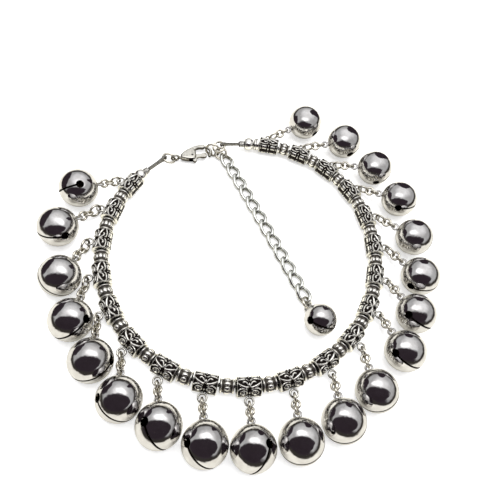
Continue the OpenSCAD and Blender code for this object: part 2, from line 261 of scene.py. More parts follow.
wire_r = 0.5
run_points = 203
lay = 4.5
eye_wire_r = 0.38
eye_half_width = 0.72
eye_sweep = 115
eye_neck = 0.34
# Where an eye opens out: distance back from its far end, and half its width there.
eye_opening = ((3, eye_neck), (2.2, eye_neck + 0.09), (1.6, 0.5))
# Each eye: where it leaves the strand, its turn and its rise there in degrees, its length,
# and its roll about that length.
eyes = ((left_end, 60.9, -0.1, 6.56, 90), (right_end, -144.5, 16.3, 6.19, 69))
cable_steel = metal("cable_steel", bright=(0.56, 0.55, 0.51), dark=(0.1, 0.09, 0.08), gloss=0.28, dull=0.5,
                    amount=0.6, grain=2500)


def wire_eye(distance, yaw, rise, length, roll):
    """Points of the eye at one end of the wire: two lengths side by side, open only at the ring."""
    start = moved(*along_strand(distance).translation)
    frame_of_eye = start @ turned("Z", yaw) @ turned("Y", -rise) @ turned("X", roll)
    round_end = [(length - eye_half_width + eye_half_width * math.cos(a), eye_half_width * math.sin(a))
                 for a in np.radians(np.linspace(-eye_sweep, eye_sweep, 17))]
    bends = [(0, eye_neck), *((length - back, width) for back, width in eye_opening), round_end[-1]]
    half = [(x, np.interp(x, *zip(*bends)))
            for x in np.linspace(0, round_end[-1][0], 30, endpoint=False)]
    outline = [(x, -y) for x, y in half] + round_end + half[::-1]
    return [frame_of_eye @ Vector((x, y, 0)) for x, y in outline]


run = [along_strand(s).translation for s in np.linspace(left_end, right_end, run_points)]
wire = [made_by(cable, "wire", bent("run", run), Cable_radius=wire_r * mm, Lay=lay * mm,
                Material=cable_steel)]
for eye in eyes:
    wire.append(made_by(cable, "wire", bent("eye", wire_eye(*eye)), Cable_radius=eye_wire_r * mm,
                        Lay=lay / 2 * mm, Material=cable_steel))
add_piece(joined("threading_cable", wire), "dull_wire", "beading_wire")

# Hanger beads: tubes cast in a tin alloy and silvered, with leaves, scrolls and studded
# squares in relief, blackened in the low places. A flat cast ring at one side takes the drop.
hanger_half = 2.8
bore_r = 0.85
hanger_r = 2.35
relief_depth = 0.27
ring_r = 0.95
ring_wire_r = 0.28
ring_gap = 0.12
ring_offset = hanger_r + ring_r + ring_gap
ring_dip = 4


def mark_relief(mesh, relief):
    """Stores how far each point stands out, which says how much film it holds. On a flat casting it stores
    how far each point faces up instead, for painted shade.
    """
    marks = mesh.attributes.new("relief", "FLOAT", "POINT")
    marks.data.foreach_set("value", np.ravel(relief).astype(np.float32))


def turned_bead(name, half, surface, finish, rings, around, bore=bore_r):
    """Bored bead along X. surface(x, angle) gives its radius, and its relief from 0 to 1."""
    ways = np.linspace(0, math.tau, around, endpoint=False)
    x, angle = np.meshgrid(np.linspace(-half, half, rings), ways)
    radius, relief = surface(x, angle)
    x = np.hstack([x[:, :1], x, x[:, -1:]])
    angle = np.hstack([angle[:, :1], angle, angle[:, :1]])
    bored = np.full((around, 1), bore)
    radius = np.hstack([bored, radius, bored])
    low = np.zeros((around, 1))
    relief = np.hstack([low, relief, low])
    points = np.dstack([x, -radius * np.sin(angle), radius * np.cos(angle)]).reshape(-1, 3) * mm
    stations = rings + 2

    def corner(i, j):
        return (i % around) * stations + j % stations

    a, b = np.meshgrid(np.arange(around), np.arange(stations), indexing="ij")
    faces = np.dstack([corner(a, b), corner(a, b + 1), corner(a + 1, b + 1), corner(a + 1, b)])
    mesh = bpy.data.meshes.new(name)
    mesh.from_pydata(points.tolist(), [], faces.reshape(-1, 4).tolist())
    mark_relief(mesh, relief)
    bm = bmesh.new()
    bm.from_mesh(mesh)
    bmesh.ops.recalc_face_normals(bm, faces=bm.faces)
    bm.to_mesh(mesh)
    bm.free()
    mesh.shade_smooth()
    mesh.set_sharp_from_angle(angle=math.radians(65))
    mesh.materials.append(finish)
    return mesh


def stroke(x, w, path, widths):
    """Height of a rounded stroke, from 0 beside it to 1 along its middle."""
    best = np.zeros_like(x)
    for (x0, w0), (x1, w1), r0, r1 in zip(path, path[1:], widths, widths[1:]):
        length = (x1 - x0) ** 2 + (w1 - w0) ** 2
        t = np.clip(((x - x0) * (x1 - x0) + (w - w0) * (w1 - w0)) / length, 0, 1)
        gap = np.hypot(x - x0 - t * (x1 - x0), w - w0 - t * (w1 - w0))
        best = np.maximum(best, 1 - (gap / (r0 + t * (r1 - r0))) ** 2)
    return np.sqrt(np.clip(best, 0, 1))


oval_steps = 18


def oval(middle, across, down):
    """Points round an oval in the bead's surface."""
    angles = np.radians(np.linspace(0, 360, oval_steps))
    return [(middle[0] + across * math.cos(a), middle[1] + down * math.sin(a)) for a in angles]


# Each ornament as a path over the bead's surface, and the half widths of its stroke on the way.
# A point is its distance from the bead's middle and its distance down from the top towards the
# cast ring, both in mm. The other three quarters mirror it.
ornaments = {
    "leaf": (((2.55, -0.2), (2.2, 0.15), (1.8, 0.45), (1.35, 0.7), (0.9, 0.85), (0.5, 0.88), (0.24, 0.72)),
             (0.13, 0.24, 0.32, 0.34, 0.31, 0.25, 0.15)),
    "curl": (((0.3, 0.4), (0.5, -0.05), (0.75, -0.38), (1.1, -0.5), (1.38, -0.35)),
             (0.12, 0.15, 0.2, 0.3, 0.25)),
    "bud": (((0, -0.15), (0, 0.2), (0, 0.5), (0, 0.85)), (0.14, 0.3, 0.27, 0.07)),
    "brow": (((2.55, 1.55), (2.1, 1.25), (1.5, 1.1), (0.95, 1.2), (0.5, 1.5)),
             (0.16, 0.18, 0.18, 0.17, 0.11)),
    "scroll": (oval((1.3, 2.25), 0.75, 0.52), [0.17] * oval_steps),
    "pupil": (((1.15, 2.3), (1.5, 2.2)), (0.17, 0.17)),
    "foot": (((2.55, 3.1), (1.7, 3.2), (0.95, 2.95)), (0.18, 0.2, 0.16)),
    "seed": (((0, 2.2), (0, 2.45)), (0.2, 0.16)),
    "back_scroll": (((2.5, -0.95), (1.9, -1.2), (1.2, -1.25), (0.55, -1.1), (0.2, -0.75)),
                    (0.18, 0.2, 0.18, 0.18, 0.12)),
    "pad_stud": (((1.2, -2.35), (1.36, -2.35)), (0.3, 0.3)),
    "back_dot": (((0, -1.75), (0, -1.8)), (0.18, 0.18)),
    "back_bar": (((0, -2.5), (0, -3.1)), (0.14, 0.14)),
    "side_bar": (((2.35, -1.75), (2.35, -2.95)), (0.13, 0.13)),
}
pad_middle = (1.28, -2.35)
pad_half = (0.72, 0.68)
pad_height = 0.85
pad_slope = 0.2
rim_length = 0.2
rim_slope = 0.06
end_rounding = 0.1


def scrollwork(x, angle):
    """Surface of a hanger bead: rounded ornaments, a flat square pad and a rim at each end."""
    down = np.arcsin(np.sin(angle)) * hanger_r
    x = np.abs(x)
    height = np.zeros_like(x)
    for path, widths in ornaments.values():
        height = np.maximum(height, stroke(x, down, path, widths))
    pad = np.maximum(np.abs(x - pad_middle[0]) / pad_half[0], np.abs(down - pad_middle[1]) / pad_half[1])
    height = np.maximum(height, pad_height * np.clip((1 - pad) / pad_slope, 0, 1))
    rim = np.clip((x - (hanger_half - rim_length)) / rim_slope, 0, 1)
    height = np.maximum(height, rim)
    at_end = np.clip((x - (hanger_half - end_rounding)) / end_rounding, 0, 1)
    return hanger_r - relief_depth * (1 - height) - end_rounding * at_end ** 2, height


antique_silver = metal(
    "antique_silver", bright=(0.95, 0.93, 0.86), dark=(0.018, 0.014, 0.012), gloss=0.18, dull=0.55,
    amount=1, grain=1800, ripple=1500, dent=0.00003, height="relief")
hanger_bead = turned_bead("hanger_bead", hanger_half, scrollwork, antique_silver, rings=84, around=104)

# Round wire of any form, cut and bent along one path, is set at each place by its turn, and
# its size stretches the path but not the wire. The film is laid on its sides as painted shade,
# less of it the more a face looks up, so the top stays bright: the tilt below is how much the
# brightest place faces up, from 0 to 1.
side_shade_tilt = 0.65
side_shade_level, top_light_level = 0.15, 0.85
formed_wire = start_tree(
    "formed_wire", "GeometryNodeTree",
    ("INPUT", "Geometry", "Geometry"), ("INPUT", "Path", "Object"), ("INPUT", "Wire radius", "Float"),
    ("INPUT", "Sides", "Int"), ("INPUT", "Material", "Material"), ("OUTPUT", "Geometry", "Geometry"),
)
wanted = add(formed_wire, "NodeGroupInput")
path = add(formed_wire, "GeometryNodeObjectInfo", {"Object": wanted.outputs["Path"]})
turn = add(formed_wire, "GeometryNodeInputNamedAttribute", {"Name": "turn"}, data_type="FLOAT_VECTOR")
size = add(formed_wire, "GeometryNodeInputNamedAttribute", {"Name": "size"}, data_type="FLOAT")
placed = add(formed_wire, "GeometryNodeInstanceOnPoints", {
    "Points": wanted.outputs["Geometry"], "Instance": path.outputs["Geometry"],
    "Rotation": turn.outputs["Attribute"], "Scale": size.outputs["Attribute"]})
forms = add(formed_wire, "GeometryNodeRealizeInstances", {"Geometry": placed.outputs["Instances"]})
round_wire = add(formed_wire, "GeometryNodeCurvePrimitiveCircle", {
    "Resolution": wanted.outputs["Sides"], "Radius": wanted.outputs["Wire radius"]})
swept = add(formed_wire, "GeometryNodeCurveToMesh", {
    "Curve": forms.outputs["Geometry"], "Profile Curve": round_wire.outputs["Curve"], "Fill Caps": True})
# Painted shade: the less a face looks up, the more of the film darkens it.
outwards = add(formed_wire, "GeometryNodeInputNormal")
faces_up = add(formed_wire, "ShaderNodeSeparateXYZ", {0: outwards.outputs[0]})
side_shade = add(formed_wire, "ShaderNodeMapRange", {
    "Value": faces_up.outputs["Z"], "From Min": 0, "From Max": side_shade_tilt,
    "To Min": side_shade_level, "To Max": top_light_level})
marked = add(formed_wire, "GeometryNodeStoreNamedAttribute", {
    "Geometry": swept.outputs["Mesh"], "Name": "relief", "Value": side_shade.outputs["Result"]}, data_type="FLOAT")
smooth = add(formed_wire, "GeometryNodeSetShadeSmooth", {"Geometry": marked.outputs["Geometry"]})
solid = add(formed_wire, "GeometryNodeRealizeInstances", {"Geometry": smooth.outputs["Geometry"]})
plated = add(formed_wire, "GeometryNodeSetMaterial", {
    "Geometry": solid.outputs["Geometry"], "Material": wanted.outputs["Material"]})
add(formed_wire, "NodeGroupOutput", {"Geometry": plated.outputs["Geometry"]})


def placed_points(name, places):
    """Points that carry the turn and the size of each place, given as (frame in mm, size)."""
    spots = bpy.data.meshes.new(name)
    spots.from_pydata([m.translation * mm for m, size in places], [], [])
    turns = [list(m.to_euler()) for m, size in places]
    spots.attributes.new("turn", "FLOAT_VECTOR", "POINT").data.foreach_set("vector", np.ravel(turns))
    spots.attributes.new("size", "FLOAT", "POINT").data.foreach_set("value", [size for m, size in places])
    return spots


def wire_forms(name, path, wire, places, finish, sides=12):
    """Wire bent along path, a curve in mm, at each place."""
    form = in_scene(name, path)
    mesh = made_by(formed_wire, name, placed_points(name, places), Path=form, Wire_radius=wire * mm,
                   Sides=sides, Material=finish)
    bpy.data.objects.remove(form)
    return mesh


def round_path(opening=0, steps=44):
    """Ring of 1 mm radius in the XY plane, cut open by that many degrees."""
    angles = np.radians(np.linspace(opening / 2, 360 - opening / 2, steps, endpoint=opening > 0))
    return bent("round", [(math.cos(a), math.sin(a), 0) for a in angles], closed=opening == 0)


cast_ring_place = turned("X", ring_dip) @ moved(0, -ring_offset)
cast_ring = wire_forms("cast_ring", round_path(), ring_wire_r, [(cast_ring_place, ring_r)],
                       antique_silver, sides=14)
hanger_bead = joined("hanger_bead", [hanger_bead, cast_ring])
for i in range(bead_count):
    bead = hanger_bead.copy()
    bead.name = f"cast_bead_{i + 1:02d}"
    bead.transform(in_metres(along_strand(i * bead_pitch)))
    add_piece(bead, "cast_scrollwork", f"hanger_bead_{i + 1:02d}")

# Spacers: smaller silvered tubes between the hanger beads, with a rounded collar at each end
# and a band of cast beading round the middle.
spacer_half = 1.65
collar_r = 1.75
collar_length = 0.45
waist_r = 1.5
beading_r = 1.93
beading_half = 0.78
beading_count = 9
beading_cut = 0.8


def beaded(x, angle):
    """Surface of a spacer: a round collar near each end and a band of beading between them."""
    x = np.abs(x)
    from_collar = (x - (spacer_half - collar_length / 2)) / (collar_length / 2)
    collar = np.clip(1 - from_collar ** 2, 0, 1) ** 0.5
    lobe = np.abs(np.cos(angle * beading_count / 2))
    bead = np.clip(1 - (x / beading_half) ** 2 - beading_cut * (1 - lobe) ** 1.5, 0, 1) ** 0.5
    radius = waist_r + np.maximum((collar_r - waist_r) * collar, (beading_r - waist_r) * bead)
    return radius, np.maximum(collar, bead)


spacer_silver = metal(
    "spacer_silver", bright=(0.93, 0.91, 0.85), dark=(0.05, 0.04, 0.03), gloss=0.14, dull=0.45,
    amount=0.95, grain=2200, ripple=1800, dent=0.00002, height="relief")
spacer = turned_bead("spacer", spacer_half, beaded, spacer_silver, rings=31, around=72)
set_along = start_tree(
    "set_along", "GeometryNodeTree",
    ("INPUT", "Geometry", "Geometry"), ("INPUT", "Copied", "Object"), ("INPUT", "Material", "Material"),
    ("OUTPUT", "Geometry", "Geometry"),
)
wanted = add(set_along, "NodeGroupInput")
copied = add(set_along, "GeometryNodeObjectInfo", {"Object": wanted.outputs["Copied"]})
turn = add(set_along, "GeometryNodeInputNamedAttribute", {"Name": "turn"}, data_type="FLOAT_VECTOR")
placed = add(set_along, "GeometryNodeInstanceOnPoints", {
    "Points": wanted.outputs["Geometry"], "Instance": copied.outputs["Geometry"],
    "Rotation": turn.outputs["Attribute"]})
solid = add(set_along, "GeometryNodeRealizeInstances", {"Geometry": placed.outputs["Instances"]})
plated = add(set_along, "GeometryNodeSetMaterial", {
    "Geometry": solid.outputs["Geometry"], "Material": wanted.outputs["Material"]})
add(set_along, "NodeGroupOutput", {"Geometry": plated.outputs["Geometry"]})
one_spacer = in_scene("spacer", spacer)
spacer_places = [(along_strand((i + 0.5) * bead_pitch), 1) for i in range(bead_count - 1)]
row = made_by(set_along, "beaded_spacers", placed_points("spacers", spacer_places),
              Copied=one_spacer, Material=spacer_silver)
bpy.data.objects.remove(one_spacer)
add_piece(row, "bead_silver", "spacers")

# End beads: a plain round bead closes each end of the strand. A grooved washer fills the
# last of the wire on the right. Then come the crimps, tubes crushed flat on the wire.
end_bead_r = 1.85
end_bead_half = 1.2
end_bead_relief = 0.6
washer_half = 0.615
washer_r = 1.75
groove_at, groove_half, groove_depth = 0.12, 0.09, 0.14
washer_edge, washer_edge_drop = 0.12, 0.1
crimp_half = 0.75
crimp_r = 0.98
crimp_bore_r = 0.6
crimps_at = (-6.55, 193.46)
crush_turn, crush_length, crush_depth = 0.6, 0.45, 0.1
rib_depth, ribs_per_mm = 0.05, 14 / math.tau


def rounded(x, angle):
    """Surface of an end bead, brightest round its middle."""
    middle = np.cos(x / end_bead_half * math.pi / 2)
    return np.sqrt(end_bead_r ** 2 - x ** 2), end_bead_relief + (1 - end_bead_relief) * middle


def grooved(x, angle):
    """Surface of the washer: flat, with one groove and softened edges."""
    groove = np.exp(-((x - groove_at) / groove_half) ** 2)
    edge = np.clip((np.abs(x) - washer_half + washer_edge) / washer_edge, 0, 1) ** 2
    return washer_r - groove_depth * groove - washer_edge_drop * edge, 1 - groove


def crushed(x, angle):
    """Surface of a crimp: pinched from two sides, with the marks of the pliers."""
    dents = np.cos(2 * angle + crush_turn) * np.exp(-(x / crush_length) ** 2)
    ribs = 0.5 + 0.5 * np.cos(x * math.tau * ribs_per_mm)
    return crimp_r - crush_depth * (1 + dents) - rib_depth * ribs, 0.35 + 0.5 * ribs


end_silver = metal(
    "end_silver", bright=(0.93, 0.91, 0.86), dark=(0.06, 0.05, 0.04), gloss=0.08, dull=0.35,
    amount=0.8, grain=1500, ripple=500, dent=0.00001, height="relief")
crimp_metal = metal(
    "crimp_metal", bright=(0.72, 0.7, 0.65), dark=(0.03, 0.025, 0.02), gloss=0.25, dull=0.5,
    amount=1, grain=2500, ripple=1200, dent=0.00004, height="relief")
for name, node, distance, half, surface in (
    ("round_bead_left", "end_bead_left", -4.38, end_bead_half, rounded),
    ("round_bead_right", "end_bead_right", 191.28, end_bead_half, rounded),
    ("grooved_washer", "end_washer", 189.045, washer_half, grooved),
):
    bead = turned_bead(name, half, surface, end_silver, rings=25, around=64)
    bead.transform(in_metres(along_strand(distance)))
    add_piece(bead, "bead_silver", node)
crimp_pair = []
for distance in crimps_at:
    crimp = turned_bead("crimp", crimp_half, crushed, crimp_metal, rings=29, around=40, bore=crimp_bore_r)
    crimp.transform(in_metres(along_strand(distance)))
    crimp_pair.append(crimp)
add_piece(joined("crushed_crimps", crimp_pair), "dull_wire", "crimps")

# Jump rings: cut from silvered brass wire and closed by hand. Each drop has one through the
# cast ring and two smaller links below it, each set across the last.
bell_r = 5
shank_r = 0.8
shank_wire_r = 0.3
shank_offset = 0.98
# The places of the rings are worked out for this wire, with some play where they meet, and the
# rings are drawn in a thicker one that fills the play.
drop_wire_r = 0.225
drawn_wire_r = 0.32
cast_ring_play, link_play, shank_play = 0.3, 0.1, 0.08
first_ring_reach = ring_r - ring_wire_r - drop_wire_r - cast_ring_play
wire_step = 2 * drop_wire_r + link_play
shank_step = drop_wire_r + shank_wire_r + shank_play
link_least, link_share = 0.4, 0.18
first_ring_roll = 12
link_rolls = (-60, 30)
# Each drop: its swing from square to the strand, its reach from cast ring to bell centre,
# and the turn of the bell's slot about its own axis.
drops = (
    (59.4, 11.81, -29), (58, 12.63, -70), (68.7, 12.9, 63), (68.7, 12.67, -57), (63.6, 12, -74),
    (50.6, 11.66, 57), (34.6, 10.64, 35), (15.5, 10.64, 51), (-2, 10.75, -35), (-17.2, 11.22, 105),
    (-30.5, 11.6, 110), (-42.8, 11.81, 115), (-43.5, 11.5, 58), (-51.9, 11.85, 54), (-55, 12.51, 87),
    (-56.4, 12.33, 132), (-57.2, 12.26, 74), (-60.5, 12.41, -77), (-59.8, 12.9, -82), (-58.5, 12.56, -80),
)
bead_rings, bell_links, bell_places = [], [], []
for i, (swing, reach, slot_turn) in enumerate(drops):
    at_bead = along_strand(i * bead_pitch)
    heading = math.degrees(at_bead.to_euler().z)
    hung_at = (at_bead @ turned("X", ring_dip) @ moved(0, -ring_offset)).translation
    rise = math.degrees(math.asin((bell_r - hung_at.z) / reach))
    drop = moved(*hung_at) @ turned("Z", heading - 90 + swing) @ turned("Y", -rise)
    span = reach - bell_r - shank_offset - shank_r - first_ring_reach
    radius_sum = (span + 2 * wire_step + shank_step) / 2
    link_r = link_least + link_share * radius_sum
    first_r = radius_sum - 2 * link_r
    first_ring = drop @ moved(first_ring_reach + first_r) @ turned("X", first_ring_roll + 90)
    bead_rings.append((first_ring, first_r))
    link_x = first_ring_reach + 2 * first_r - wire_step + link_r
    for roll in link_rolls:
        bell_links.append((drop @ moved(link_x) @ turned("X", roll + 90), link_r))
        link_x += 2 * link_r - wire_step
    bell_places.append((drop @ moved(reach), slot_turn))

ring_silver = metal(
    "ring_silver", bright=(0.93, 0.89, 0.78), dark=(0.1, 0.08, 0.055), gloss=0.14, dull=0.3,
    amount=0.8, grain=1300, ripple=900, dent=0.00001, height="relief")
cut_ring = round_path(opening=4)
for name, rings, node in (
    ("rings_at_beads", bead_rings, "bead_rings"),
    ("links_at_bells", bell_links, "bell_rings"),
):
    add_piece(wire_forms(name, cut_ring, drawn_wire_r, rings, ring_silver), "ring_silver", node)

# Bells: hollow balls pressed from thin brass sheet and silvered bright, with a wire shank
# soldered in. A sawn slot crosses the far end, between two round holes, and shows the inside,
# which is painted near black as shade.
bell_wall = 0.45
slot_width = 0.5
slot_hole_r = 1
# As shares of the bell's radius: how far from its middle the slot starts, and how long the saw
# blade is. As a share of the wall, from outside: where the painted shade of the inside starts.
slot_from = 0.17
blade_length = 2.4
inside_shade_from = 0.55
hole_angle = 80
shell = start_tree(
    "bell_shell", "GeometryNodeTree",
    ("INPUT", "Geometry", "Geometry"), ("INPUT", "Radius", "Float"), ("INPUT", "Wall", "Float"),
    ("INPUT", "Slot width", "Float"), ("INPUT", "Hole radius", "Float"), ("INPUT", "Material", "Material"),
    ("INPUT", "Inside", "Material"), ("OUTPUT", "Geometry", "Geometry"),
)
wanted = add(shell, "NodeGroupInput")
radius = wanted.outputs["Radius"]
outer = add(shell, "GeometryNodeMeshUVSphere", {"Segments": 112, "Rings": 56, "Radius": radius})
inner_r = add(shell, "ShaderNodeMath", {0: radius, 1: wanted.outputs["Wall"]}, operation="SUBTRACT")
inner = add(shell, "GeometryNodeMeshUVSphere", {"Segments": 56, "Rings": 28, "Radius": inner_r.outputs[0]})
blade = add(shell, "ShaderNodeMath", {0: radius, 1: blade_length}, operation="MULTIPLY")
slot_size = add(shell, "ShaderNodeCombineXYZ", {
    "X": radius, "Y": blade.outputs[0], "Z": wanted.outputs["Slot width"]})
slot_x = add(shell, "ShaderNodeMath", {0: radius, 1: slot_from + 0.5}, operation="MULTIPLY")
slot_middle = add(shell, "ShaderNodeCombineXYZ", {"X": slot_x.outputs[0]})
saw = add(shell, "GeometryNodeMeshCube", {"Size": slot_size.outputs[0]})
sawn = add(shell, "GeometryNodeTransform", {
    "Geometry": saw.outputs["Mesh"], "Translation": slot_middle.outputs[0]})
punch = add(shell, "GeometryNodeMeshCylinder", {
    "Vertices": 40, "Radius": wanted.outputs["Hole radius"], "Depth": radius})
cutters = [sawn]
for side in (-1, 1):
    angle = math.radians(side * hole_angle)
    hole_x = add(shell, "ShaderNodeMath", {0: radius, 1: math.cos(angle)}, operation="MULTIPLY")
    hole_y = add(shell, "ShaderNodeMath", {0: radius, 1: math.sin(angle)}, operation="MULTIPLY")
    hole_place = add(shell, "ShaderNodeCombineXYZ", {"X": hole_x.outputs[0], "Y": hole_y.outputs[0]})
    cutters.append(add(shell, "GeometryNodeTransform", {
        "Geometry": punch.outputs["Mesh"], "Translation": hole_place.outputs[0],
        "Rotation": (0, math.pi / 2, angle)}))
cut = add(shell, "GeometryNodeMeshBoolean", {"Mesh 1": outer.outputs["Mesh"]},
          operation="DIFFERENCE", solver="EXACT")
for tool in (inner, *cutters):
    shell.links.new(tool.outputs[0], cut.inputs["Mesh 2"])
smooth = add(shell, "GeometryNodeSetShadeSmooth", {"Geometry": cut.outputs["Mesh"]})
solid = add(shell, "GeometryNodeRealizeInstances", {"Geometry": smooth.outputs["Geometry"]})
plated = add(shell, "GeometryNodeSetMaterial", {
    "Geometry": solid.outputs["Geometry"], "Material": wanted.outputs["Material"]})
# Painted shade: faces deeper in the wall than that share take the near-black inside material.
position = add(shell, "GeometryNodeInputPosition")
from_middle = add(shell, "ShaderNodeVectorMath", {0: position.outputs[0]}, operation="LENGTH")
shallow = add(shell, "ShaderNodeMath", {0: wanted.outputs["Wall"], 1: inside_shade_from}, operation="MULTIPLY")
inside_shade_r = add(shell, "ShaderNodeMath", {0: radius, 1: shallow.outputs[0]}, operation="SUBTRACT")
inside_shaded = add(shell, "FunctionNodeCompare", {0: from_middle.outputs["Value"], 1: inside_shade_r.outputs[0]},
             data_type="FLOAT", operation="LESS_THAN")
shaded_inside = add(shell, "GeometryNodeSetMaterial", {
    "Geometry": plated.outputs["Geometry"], "Selection": inside_shaded.outputs[0],
    "Material": wanted.outputs["Inside"]})
add(shell, "NodeGroupOutput", {"Geometry": shaded_inside.outputs["Geometry"]})

bell_silver = metal(
    "bell_silver", bright=(0.7, 0.69, 0.68), dark=(0.33, 0.3, 0.28), gloss=0.04, dull=0.16,
    amount=0.35, grain=500, ripple=420, dent=0.0001)
# Painted shade: the inside of the ball and the inner part of its cut edges are near black.
bell_inside = metal(
    "bell_inside", bright=(0.16, 0.11, 0.07), dark=(0.03, 0.02, 0.015), gloss=0.35, dull=0.6,
    amount=0.9, grain=900, ripple=600, dent=0.00003)
off_ball_by = 0.001


def pressed_ball(radius):
    """Hollow ball about the origin, its slot across the X side."""
    return made_by(shell, "ball", bpy.data.meshes.new("blank"), Radius=radius * mm, Wall=bell_wall * mm,
                   Slot_width=slot_width * mm, Hole_radius=slot_hole_r * mm, Material=bell_silver,
                   Inside=bell_inside)


def soldered_shank(radius, ring, wire, offset):
    """Wire ring that stands out of a ball of that radius, on its -X side."""
    place = moved(-radius - offset) @ turned("X", 90)
    return wire_forms("shank", round_path(), wire, [(place, ring)], bell_silver)


def bell(name, ball, shank, radius, place, slot_turn, shank_turn):
    """Bell at place, a frame in mm, with its shank towards -X.

    The faces of the ball are shaded as a true sphere, so that they mirror without facets.
    """
    ball, shank = ball.copy(), shank.copy()
    ball.transform(turned("X", slot_turn + 90))
    shank.transform(turned("X", shank_turn))
    whole = joined(name, [ball, shank])
    whole.set_sharp_from_angle(angle=math.radians(35))
    points = np.zeros(len(whole.vertices) * 3)
    whole.vertices.foreach_get("co", points)
    points = points.reshape(-1, 3)
    reach = np.linalg.norm(points, axis=1)
    corners = np.zeros(len(whole.loops), int)
    whole.loops.foreach_get("vertex_index", corners)
    starts = np.array([face.loop_start for face in whole.polygons])
    sizes = np.array([face.loop_total for face in whole.polygons])
    off_ball = np.abs(reach[corners] - radius * mm) > off_ball_by * mm
    round_face = np.repeat(np.logical_or.reduceat(off_ball, starts) == 0, sizes)
    whole.normals_split_custom_set((points[corners] * round_face[:, None] / (radius * mm)).tolist())
    whole.transform(in_metres(place))
    return whole


large_ball = pressed_ball(bell_r)
large_shank = soldered_shank(bell_r, shank_r, shank_wire_r, shank_offset)
shank_turn = 120
for i, (place, slot_turn) in enumerate(bell_places):
    add_piece(bell(f"jingle_bell_{i + 1:02d}", large_ball, large_shank, bell_r, place, slot_turn, shank_turn),
              "bell_silver", f"bell_{i + 1:02d}")

# Pellets: a loose ball of bare steel in each bell, put in before the ball is closed. It strikes
# the shell when the bell moves, and is seen only through the holes.
pellet_steel = metal("pellet_steel", bright=(0.4, 0.38, 0.35), dark=(0.08, 0.06, 0.05), gloss=0.3, dull=0.6,
                     amount=0.8, grain=1200)
nodes["pellets"].data.materials.clear()
nodes["pellets"].data.materials.append(pellet_steel)

# Clasp: a lobster claw cast in one piece with its hook and end loop, polished and silvered.
# A sprung lever on a steel pin closes the hook from below.
clasp_place = whole_loop @ moved(-26.64, 21.37, 1.42) @ turned("Z", 23.4)
body_outline = ((1.5, 0.1), (1.75, -0.6), (2.7, -1.05), (4.1, -1.36), (5.5, -1.3), (6.1, -0.6), (6.25, 0.6),
                (6.15, 1.85), (5.6, 2.75), (4.4, 2.75), (2.8, 1.85), (1.75, 0.85))
arm_outline = ((4.2, 1.5), (4.2, 2.6), (5.8, 3.62), (7.2, 3.98), (9, 3.96), (9.2, 3.45), (9, 2.94),
               (7.2, 2.86), (6.1, 2.2), (6, 1.6))
lever_outline = ((4.3, -0.02), (4.7, 0.54), (6.9, 0.56), (9.15, 0.6), (9.25, 0.08), (9.15, -0.45),
                 (6.4, -0.72), (6.1, -1.72), (5.7, -2.12), (5.2, -2.02), (4.8, -0.72))
body_thick, body_round = 2, 0.72
arm_thick, arm_round = 1.2, 0.3
lever_thick, lever_round = 0.9, 0.16
lever_room = Vector((4, 3.8, 1.04))
lever_room_middle = (5.9, -0.42, 0)
hook_middle = (8.8, 1.5)
hook_r = 1.95
hook_wire_r = 0.5
hook_from, hook_to = -55, 100
end_loop_wire_r = 0.36
neck_from, neck_to, neck_r = 1.2, 2, 0.45
clasp_silver = metal(
    "clasp_silver", bright=(0.72, 0.7, 0.63), dark=(0.05, 0.04, 0.03), gloss=0.12, dull=0.28,
    amount=0.95, grain=800, ripple=420, dent=0.00004, height="relief")


def rounded_plate(name, outline, thickness, rounding):
    """Plate with that outline in mm, its edges rounded over."""
    curve = bpy.data.curves.new(name, "CURVE")
    curve.dimensions = "2D"
    curve.fill_mode = "BOTH"
    spline = curve.splines.new("BEZIER")
    spline.bezier_points.add(len(outline) - 1)
    for point, (x, y) in zip(spline.bezier_points, outline):
        point.co = (x * mm, y * mm, 0)
        point.handle_left_type = point.handle_right_type = "AUTO"
    spline.use_cyclic_u = True
    curve.resolution_u = 5
    curve.offset = -rounding * mm
    curve.bevel_depth = rounding * mm
    curve.bevel_resolution = 4
    curve.extrude = (thickness / 2 - rounding) * mm
    plate = in_scene(name, curve)
    mesh = bpy.data.meshes.new_from_object(plate.evaluated_get(bpy.context.evaluated_depsgraph_get()))
    bpy.data.objects.remove(plate)
    bm = bmesh.new()
    bm.from_mesh(mesh)
    bmesh.ops.remove_doubles(bm, verts=bm.verts, dist=0.004 * mm)
    bmesh.ops.recalc_face_normals(bm, faces=bm.faces)
    bm.to_mesh(mesh)
    bm.free()
    mesh.shade_smooth()
    return mesh


def cut_away(mesh, middle, size):
    """The mesh with a box taken out of it, both in mm."""
    whole = in_scene("whole", mesh)
    tool_mesh = bpy.data.meshes.new("tool")
    bm = bmesh.new()
    box = in_metres(moved(*middle)) @ Matrix.Diagonal((*(size * mm), 1))
    bmesh.ops.create_cube(bm, size=1, matrix=box)
    bm.to_mesh(tool_mesh)
    bm.free()
    tool = in_scene("tool", tool_mesh)
    cut = whole.modifiers.new("cut", "BOOLEAN")
    cut.object = tool
    cut_mesh = bpy.data.meshes.new_from_object(whole.evaluated_get(bpy.context.evaluated_depsgraph_get()))
    for item in (whole, tool):
        bpy.data.objects.remove(item)
    return cut_mesh


def paint_side_shade(mesh):
    """Paints shade on the sides of a flat casting with the film, and leaves its top bright."""
    up = [v.normal.z for v in mesh.vertices]
    mark_relief(mesh, np.interp(up, (0, side_shade_tilt), (side_shade_level, top_light_level)))
    mesh.materials.clear()
    mesh.materials.append(clasp_silver)


